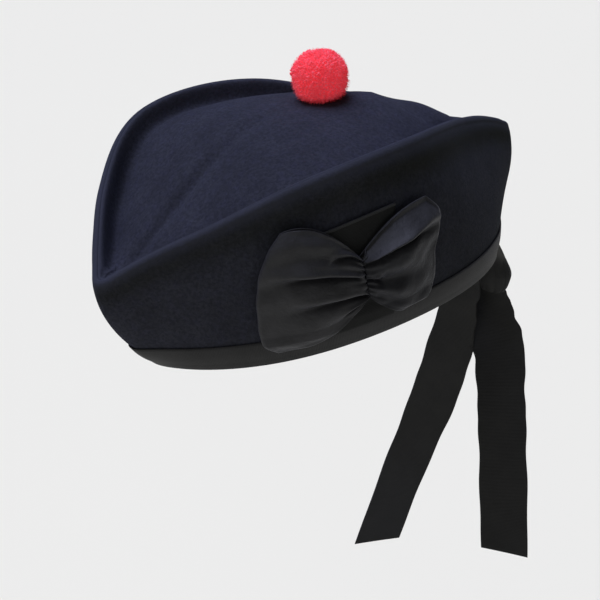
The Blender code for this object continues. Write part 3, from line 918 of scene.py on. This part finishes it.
def crown_half(places, side):
    """Points across half of the crown, from the seam on the ridge to the middle line, as on the left.

    The folds are those of the left half for side 1 and of the right half for side -1.
    """
    crest = ridge(places)
    out = level_normal(ridge, places)
    inset = np.minimum(VALLEY_INSET, VALLEY_SHARE * crest[..., 0] / np.maximum(out[..., 0], TINY))
    drop = section("drop", places) * inset / VALLEY_INSET
    valley = crest - inset[..., None] * out - vectors(0, 0, drop)
    wide, y, low = np.moveaxis(valley, -1, 0)
    steepest = STEEPEST * wide * smooth_step(wide, 0, TIP_WIDTH)
    lift = np.clip(middle_line("crown", y) - low, -steepest, steepest)
    slope = 2 * lift / np.maximum(wide, TINY)
    start = np.minimum(LIP_SPAN, START_SHARE * inset)
    lips = start * np.array([LIP_REACH, *LIPS]) / LIP_SPAN
    handles = (
        (start, 0),
        (RIDGE_HANDLE * inset, 0),
        (VALLEY_HANDLE * inset, -drop - (1 - VALLEY_HANDLE) * inset * slope),
        (inset, -drop),
    )
    t = np.linspace(0, 1, SLOPE_ROWS + 1)
    weights = ((1 - t) ** 3, 3 * t * (1 - t) ** 2, 3 * t**2 * (1 - t), t**3)
    inward, rise = [sum(weight * pair[i] for weight, pair in zip(weights, handles)) for i in (0, 1)]
    inward = np.concatenate([lips, inward], axis=1)
    rise = np.concatenate([0 * lips, rise], axis=1) - hump(inward, *GROOVE)
    edge = crest - inward[..., None] * out + vectors(0, 0, rise)
    t = np.linspace(0, 1, CROWN_ROWS + 1)[1:]
    x = wide * (1 - t)
    z = low + lift * (1 - (1 - t) ** 2) + crown_swell(x, y) * smooth_step(t, 0, SWELL_EDGE)
    z = z - hump(x, middle_line("crease", y), 0, CREASE_WIDTH) - crown_fold_depth(places, side * x)
    # Wear and painted highlight along the edge of the ridge
    wear_and_highlight = np.concatenate([hump(inward, *CROWN_WEAR_AND_HIGHLIGHT), 0 * x], axis=1)
    return np.concatenate([edge, vectors(x, y, z)], axis=1), wear_and_highlight


def make_crown(felt):
    places = stations()
    left, wear_and_highlight = crown_half(places, 1)
    right = crown_half(places, -1)[0]
    outer = np.concatenate([raised(left, *LEFT_RISE), mirrored(right)[:, -2::-1]], axis=1)
    inner = outer - (0, 0, FELT)
    points = np.concatenate([outer, inner[:, ::-1], outer[:, :1]], axis=1)
    piece = grid_piece("crown_felt", points, felt)
    # Wear and painted highlight along both ridges
    wear_and_highlight = np.concatenate([wear_and_highlight, wear_and_highlight[:, -2::-1]], axis=1)
    spread(piece, "wear_and_highlight", np.concatenate([wear_and_highlight, 0 * wear_and_highlight, wear_and_highlight[:, :1]], axis=1))
    # Painted light on the crown, more of it towards the back
    spread(piece, "painted_light", painted_light_at(points, CROWN_PAINTED_LIGHT))
    weld(piece)
    hand_over(piece, "navy_felt", "crown")


# Ribbon


def ribbon_piece(name, points, ribbon, thickness, side, **shape):
    """Ribbon in place of the solid of the same name."""
    piece = grid_piece(name + "_ribbon", points, ribbon, **shape)
    solidify(piece, thickness, side)
    hand_over(piece, "black_ribbon", name)
    return piece


def binding_line(places):
    """Line across the ribbon: down the outside, round the edge of the felt and up the inside."""
    bound = (1 - BINDING_TAPER * smooth_step(places, *BINDING_TAPER_STATIONS)) * binding_share(places)
    down = np.linspace(0, 1, BINDING_ROWS)
    swell = np.sin(np.pi * (BINDING_SWELL_FROM + (1 - BINDING_SWELL_FROM) * down))
    off = BINDING_RIBBON + BINDING_ROOM + BINDING_SWELL * swell
    shares = bound * (1 - down)
    outer = panel(places, shares) + off[:, None] * panel_normal(places, shares)
    edge = panel(places, 0)
    normal = panel_normal(places, 0)
    up = unit(panel(places, EDGE_STEP) - edge)
    turns = np.linspace(0, np.pi, BINDING_ROWS)[1:-1, None]
    fold = edge - FELT / 2 * normal + (FELT / 2 + EDGE_ROOM) * (np.cos(turns) * normal - np.sin(turns) * up)
    shares = bound * down
    inner = panel(places, shares) - (FELT + EDGE_ROOM) * panel_normal(places, shares)
    return np.concatenate([outer[:, :-1], fold, inner[:, 1:]], axis=1)


def make_binding(ribbon):
    places = stations()
    points = np.concatenate([binding_line(places), mirrored(binding_line(places[-2:0:-1]))])
    piece = ribbon_piece("binding", points, ribbon, BINDING_RIBBON, -1, closed=True, flip=True)


# Cockade


def backing_points(ups, lift, columns):
    """Points of the patch at heights over the pinch, from its front edge to its rear edge."""
    knots, *edges = np.array(BACKING).T
    front, rear = [np.interp(ups, knots, edge)[:, None] for edge in edges]
    t = np.linspace(0, 1, columns)
    return on_panel(front * (1 - t) + rear * t, ups[:, None], lift)


def make_backing(ribbon, edge):
    low, high = BACKING[0][0], BACKING[-1][0]
    points = backing_points(np.linspace(low, high, PATCH_ROWS), 0, PATCH_COLUMNS)
    piece = ribbon_piece("cockade_backing", points, ribbon, THIN_RIBBON, -1)
    points = backing_points(np.linspace(high - HEM_WIDTH, high, HEM_ROWS), HEM_LIFT, PATCH_ROWS)
    hem = grid_piece("cockade_backing_hem", points, edge)
    solidify(hem, THIN_RIBBON, -1)
    hand_over(hem, "black_ribbon", "cockade_backing")


def crease_depth(creases, across, along):
    """Depth of the gathers that run out from the pinch, over the whole wing."""
    depth = 0
    for first, last, at_pinch, at_end, deep, width in creases:
        run = np.clip(along / last, 0, 1)
        fade = smooth_step(along, *(first + CREASE_FADE)) * (1 - smooth_step(run, CREASE_RUN_OUT, 1))
        off = (across - (at_pinch + (at_end - at_pinch) * run)) / width
        depth = depth + deep * fade * sum(hump(off, *row) for row in CREASE_PROFILE)
    return depth


def crumple(across, along):
    """Small unevenness of gathered ribbon."""
    total = 0
    for height, *waves in CRUMPLES:
        for by_across, by_along, start in waves:
            height = height * np.sin(by_across * across + by_along * along + start)
        total = total + height
    return total


def wing_grid(folds, creases, side):
    """Ribbon loop: out from the pinch, round its outer turn and back underneath."""
    across = np.linspace(0, 1, WING_ROWS + 1)[:, None]
    fold = curves(folds, FOLD_COLUMNS, across)
    turn = TURN_SCALE * fold["turn"]
    under = RIBBON + GAP + BACK_SHEET
    start = side * GAP / 2

    def line(along, lift):
        back = start + (fold["end_back"] - start) * along
        reach = 1 - (1 - along) ** FAN_OUT
        return on_panel(back, fold["pinch_up"] + (fold["end_up"] - fold["pinch_up"]) * reach, lift)

    along = np.linspace(0, 1, WING_ROWS // 2 + 1)
    lobe = np.sin(np.pi * np.clip(across, LOBE_EDGE, 1 - LOBE_EDGE)) ** LOBE_FULLNESS
    crest = (fold["lift"] + LOBE_LIFT * lobe) / 2
    values = np.hstack([np.full_like(across, under + PINCH_LIFT), crest + under, under + 2 * turn]).T
    lift = through(np.array((0, FOLD_CREST, 1.0)), values, along).T
    puckers = np.sin(2 * np.pi * (PUCKERS * across + PUCKER_START)) * np.sqrt(np.sin(np.pi * across))
    lift = lift + PUCKER_DEPTH * puckers * np.exp(-along / PUCKER_REACH) + crumple(across, along)
    lift = np.maximum(lift - crease_depth(creases, across, along), under + 2 * THIN_RIBBON)
    bend = np.linspace(0, np.pi, WING_TURN_ROWS)[1:]
    end = fold["end_back"] + side * turn * np.sin(bend)
    outer = on_panel(end, fold["end_up"], under + turn * (1 + np.cos(bend)))
    below = line(np.linspace(1, 0, WING_UNDER_ROWS)[1:], under)
    return np.concatenate([line(along, lift), outer, below], axis=1)


def make_wing(name, folds, creases, side, painted_shade, cut, area, ribbon):
    points = wing_grid(folds, creases, side)
    piece = ribbon_piece(name, points, ribbon, THIN_RIBBON, side)
    # Painted shade over the lower part of the loop
    low = 1 - smooth_step(np.linspace(0, 1, len(points))[:, None], *REAR_WING_SHADE_EDGE)
    spread(piece, "painted_shade", painted_shade * low + 0 * points[..., 0])


# Knot and tails


def knot_grid():
    """Rings of points down the knot: a flat neck that hangs from the rim, and a pleated lump."""
    along = np.linspace(0, 1, KNOT_ROWS)[:, None]
    at = curves(KNOT, KNOT_COLUMNS, along)
    turn = np.linspace(0, 2 * np.pi, KNOT_SIDES, endpoint=False)
    drift = KNOT_PLEAT_LEAN * along + KNOT_PLEAT_DRIFT * np.sin(KNOT_PLEAT_DRIFTS * turn)
    pleat = np.abs(np.sin(KNOT_PLEATS * turn / 2 + drift)) ** KNOT_PLEAT_SHARPNESS
    lump = 1 + KNOT_LUMP * smooth_step(along, *KNOT_LUMP_ALONG)
    full = np.clip(at["depth"] / KNOT_FULL_DEPTH, KNOT_PLEAT_LEAST, 1)
    inset = KNOT_PLEAT_DEPTH * lump * (1 - pleat) * full

    def place(middle, width, wave):
        return at[middle] + (at[width] / 2 - inset) * np.sign(wave) * np.abs(wave) ** (2 / KNOT_SQUARENESS)

    return vectors(place("x", "width", np.cos(turn)), place("y", "depth", np.sin(turn)), at["z"])


def make_knot(ribbon):
    points = knot_grid()
    caps = [points[i].mean(axis=0) * np.ones_like(points[i]) for i in (0, -1)]
    points = np.concatenate([caps[0][None], points, caps[1][None]])
    points = np.concatenate([points, points[:, :1]], axis=1)
    piece = grid_piece("tail_knot_ribbon", points, ribbon, flip=True)
    # Paler band with painted light near the top of the knot
    spread(piece, "pale_and_lit", smooth_step(points[..., 2], *KNOT_PALE_AND_LIT_HEIGHTS))
    hand_over(piece, "black_ribbon", "tail_knot")


def tail_grid(path, slant, wider):
    """A ribbon end that hangs from the knot, cut at a slant and a little wavy at its edges."""
    along = np.linspace(0, 1, TAIL_ROWS)[:, None]
    at = curves(path, TAIL_COLUMNS, along)
    middle = vectors(at["x"], at["y"], at["z"])
    heading = np.radians(at["heading"])
    across = vectors(np.cos(heading), np.sin(heading), 0)
    down = unit(np.gradient(middle, axis=0))
    face = unit(np.cross(across, down))
    share = np.linspace(-0.5, 0.5, TAIL_STRIPS)
    reach = slant * np.clip((along - TAIL_CUT_FROM) / (1 - TAIL_CUT_FROM), 0, 1) * share
    bow = TAIL_BOW * (1 - (2 * share) ** 2 + np.sin(TAIL_BOW_TURN * along))
    edge_wave = TAIL_WAVE * sum(np.sin(turns * along + start) for turns, start in TAIL_WAVES)
    wide = (at["width"] + edge_wave) * share
    for by, edge, starts, full, stops, ends in wider:
        more = smooth_step(along, starts, full) - smooth_step(along, stops, ends)
        wide = wide + edge * by * more * np.clip(2 * edge * share, 0, 1)
    return middle + wide[..., None] * across + reach[..., None] * down + bow[..., None] * face


def make_tail(name, path, slant, wider, cut, area, ribbon):
    piece = ribbon_piece(name, tail_grid(path, slant, wider), ribbon, THIN_RIBBON, 0)


# Toorie


def even_directions(count):
    """Directions spread evenly over a ball."""
    i = np.arange(count) + 0.5
    z = 1 - 2 * i / count
    turn = np.pi * (1 + 5**0.5) * i
    level = np.sqrt(1 - z**2)
    return vectors(level * np.cos(turn), level * np.sin(turn), z)


def strands(dice, roots, tips, most_bend, shades, radii, sides):
    """Bent strands from roots to tips, as tubes with a closed end: points, faces and colour values."""
    count = len(roots)
    bend = dice.uniform(0, most_bend, count)[:, None, None]
    shade = dice.uniform(*shades, count)
    angle = dice.uniform(0, 2 * np.pi, count)[:, None]
    levels = len(radii)
    t = np.linspace(0, 1, levels)[:, None]
    axis = unit(tips - roots)
    first = unit(np.cross(axis, np.where(np.abs(axis[:, 2:]) < STEEP, (0, 0, 1.0), (1.0, 0, 0))))
    second = np.cross(axis, first)
    lean = np.cos(angle) * first + np.sin(angle) * second
    middle = roots[:, None] * (1 - t) + tips[:, None] * t + bend * t**2 * lean[:, None]
    turn = np.linspace(0, 2 * np.pi, sides, endpoint=False)[:, None]
    spoke = np.cos(turn) * first[:, None] + np.sin(turn) * second[:, None]
    points = middle[:, :, None] + np.array(radii)[:, None, None] * spoke[:, None]
    points = np.concatenate([points.reshape(count, -1, 3), middle[:, -1:]], axis=1)
    here = sides * np.arange(levels)[:, None] + np.arange(sides)
    beside = np.roll(here, -1, axis=1)
    quads = np.stack([here[:-1], beside[:-1], beside[1:], here[1:]], axis=-1).reshape(-1, 4)
    per = levels * sides + 1
    caps = np.stack([here[-1], beside[-1], np.full(sides, per - 1)], axis=-1)
    start = per * np.arange(count)[:, None, None]
    faces = [(quads + start).reshape(-1, 4), (caps + start).reshape(-1, 3)]
    depth = np.append(np.repeat(np.linspace(0, 1, levels), sides), 1)
    return points.reshape(-1, 3), faces, np.repeat(shade, per), np.tile(depth, count)


def on_ball(away, reach):
    """Points of the pompom in directions from its middle. It is fullest just over the felt."""
    level = np.hypot(away[:, 0], away[:, 1])
    power = np.where(away[:, 2] < 0, TOORIE_FOOT_SQUARENESS, TOORIE_SQUARENESS)
    full = (level**power + np.abs(away[:, 2]) ** power) ** (-1 / power)
    return TOORIE_PLACE + (reach * full)[:, None] * away * TOORIE_SQUASH


def make_core():
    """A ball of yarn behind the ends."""
    mesh = bmesh.new()
    bmesh.ops.create_icosphere(mesh, subdivisions=CORE_LEVELS, radius=1)
    points = on_ball(np.array([vertex.co for vertex in mesh.verts]), TOORIE_RADIUS - CORE_DEPTH)
    faces = np.array([[vertex.index for vertex in face.verts] for face in mesh.faces])
    mesh.free()
    return points, [faces], np.full(len(points), CORE_SHADE), np.full(len(points), CORE_LEVEL)


def make_yarn(dice):
    """Thick cut ends of yarn, spread evenly over the ball."""
    away = unit(even_directions(YARN_ENDS) + dice.normal(0, YARN_SCATTER, (YARN_ENDS, 3)))
    reach = TOORIE_RADIUS + YARN_PAST + dice.normal(0, YARN_UNEVEN, YARN_ENDS)
    lumps = LUMP_HEIGHT * np.prod(np.sin(away * LUMP_TURNS + LUMP_STARTS), axis=1)
    roots = TOORIE_PLACE + YARN_ROOTS * unit(away + dice.normal(0, YARN_ROOT_SCATTER, away.shape))
    return strands(dice, roots, on_ball(away, reach + lumps), *YARN_LOOK)


def make_fluff(dice):
    """Fine loose fibres that stand out past the ends of the yarn."""
    out = unit(dice.normal(0, 1, (FLUFF, 3)))
    roots = TOORIE_PLACE + (TOORIE_RADIUS - FLUFF_ROOT_DEPTH) * out
    reach = TOORIE_RADIUS + dice.uniform(*FLUFF_PAST, FLUFF)
    away = unit(out + dice.normal(0, FLUFF_SCATTER, out.shape))
    return strands(dice, roots, on_ball(away, reach), *FLUFF_LOOK)


def make_toorie(wool):
    dice = np.random.default_rng(SEED)
    places, groups, shades, depths = zip(make_yarn(dice), make_fluff(dice), make_core())
    points = np.concatenate(places)
    floor = middle_line("crown", points[:, 1]) + CROWN_ROOM
    points[:, 2] = np.maximum(points[:, 2], floor + crown_swell(points[:, 0], points[:, 1]))
    starts = np.cumsum([0, *map(len, places)])
    faces = []
    for start, group in zip(starts, groups):
        for part in group:
            faces += (part + start).tolist()
    mesh = bpy.data.meshes.new("toorie_wool")
    mesh.from_pydata(points.tolist(), [], faces)
    mesh.shade_smooth()
    piece = new_piece("toorie_wool", mesh, wool)
    spread(piece, "shade", np.concatenate(shades))
    spread(piece, "depth", np.concatenate(depths))
    # Painted shade at the foot of the pompom
    spread(piece, "foot_shade", smooth_step((TOORIE_PLACE[2] - points[:, 2]) / TOORIE_RADIUS, *TOORIE_FOOT_SHADE))
    hand_over(piece, "red_wool", "toorie")


# Camera, light and floor


def aim(position, direction, up):
    """Matrix of a camera at a position that looks along a direction."""
    back = -direction.normalized()
    right = up.cross(back).normalized()
    above = back.cross(right)
    turn = Matrix((right, above, back)).transposed().to_4x4()
    return Matrix.Translation(position) @ turn


def make_camera():
    a = math.radians(AZIMUTH)
    e = math.radians(ELEVATION)
    back = Vector((math.sin(a) * math.cos(e), -math.cos(a) * math.cos(e), math.sin(e)))
    right = Vector((math.cos(a), math.sin(a), 0))
    up = back.cross(right)
    picture_right = math.cos(ROLL) * right - math.sin(ROLL) * up
    picture_up = math.sin(ROLL) * right + math.cos(ROLL) * up
    middle_x = (PICTURE / 2 - PRINCIPAL[0]) / FOCAL_PIXELS
    middle_y = (PRINCIPAL[1] - PICTURE / 2) / FOCAL_PIXELS
    direction = -back + middle_x * picture_right + middle_y * picture_up
    data = bpy.data.cameras.new("camera")
    data.sensor_width = SENSOR
    data.lens = SENSOR * FOCAL_PIXELS / PICTURE
    camera = bpy.data.objects.new("camera", data)
    camera.matrix_world = aim(TARGET + DISTANCE * back, direction, picture_up)
    bpy.context.scene.collection.objects.link(camera)
    bpy.context.scene.camera = camera


def make_light(name, energy, towards, angle, colour):
    """A wide soft light from far away."""
    data = bpy.data.lights.new(name, "SUN")
    data.energy = energy
    data.color = colour
    data.angle = math.radians(angle)
    light = bpy.data.objects.new(name, data)
    light.rotation_euler = Vector(towards).to_track_quat("-Z", "Y").to_euler()
    bpy.context.scene.collection.objects.link(light)


def make_studio():
    scene = bpy.context.scene
    scene.view_settings.view_transform = "Standard"
    world = bpy.data.worlds.new("studio")
    world.use_nodes = True
    sky = world.node_tree.nodes["Background"]
    sky.inputs["Color"].default_value = (1.0, 1.0, 1.0, 1)
    sky.inputs["Strength"].default_value = WORLD_LIGHT
    scene.world = world
    for name, (energy, towards, angle, colour) in LIGHTS.items():
        make_light(name, energy, towards, angle, colour)

    material, tree, values = new_material("pale_floor", FLOOR_NOISES)
    finished(material, mixed(tree, values["clouds"], FLOOR_DARK, FLOOR_LIGHT), FLOOR_ROUGHNESS)
    mesh = bpy.data.meshes.new("floor")
    signs = ((-1, -1), (1, -1), (1, 1), (-1, 1))
    corners = [(x * FLOOR_REACH, y * FLOOR_REACH, FLOOR_HEIGHT) for x, y in signs]
    mesh.from_pydata(corners, [], [(0, 1, 2, 3)])
    floor = new_piece("floor", mesh, material)


def main():
    make_camera()
    make_studio()
    felt = felt_material()
    binding, grosgrain, patch = [ribbon_material(name) for name in RIBBONS]
    satin = satin_material()
    make_sides(felt)
    make_crown(felt)
    make_binding(binding)
    make_backing(patch, binding)
    make_wing("cockade_front_wing", FRONT_WING, FRONT_CREASES, -1, 0, *FRONT_WING_CUT, satin)
    make_wing("cockade_rear_wing", REAR_WING, REAR_CREASES, 1, REAR_WING_SHADE, *REAR_WING_CUT, satin)
    make_knot(grosgrain)
    make_tail("tail_left", TAIL_LEFT, TAIL_LEFT_SLANT, TAIL_LEFT_WIDER, *TAIL_LEFT_CUT, grosgrain)
    make_tail("tail_right", TAIL_RIGHT, TAIL_RIGHT_SLANT, TAIL_RIGHT_WIDER, *TAIL_RIGHT_CUT, grosgrain)
    make_toorie(wool_material())


main()
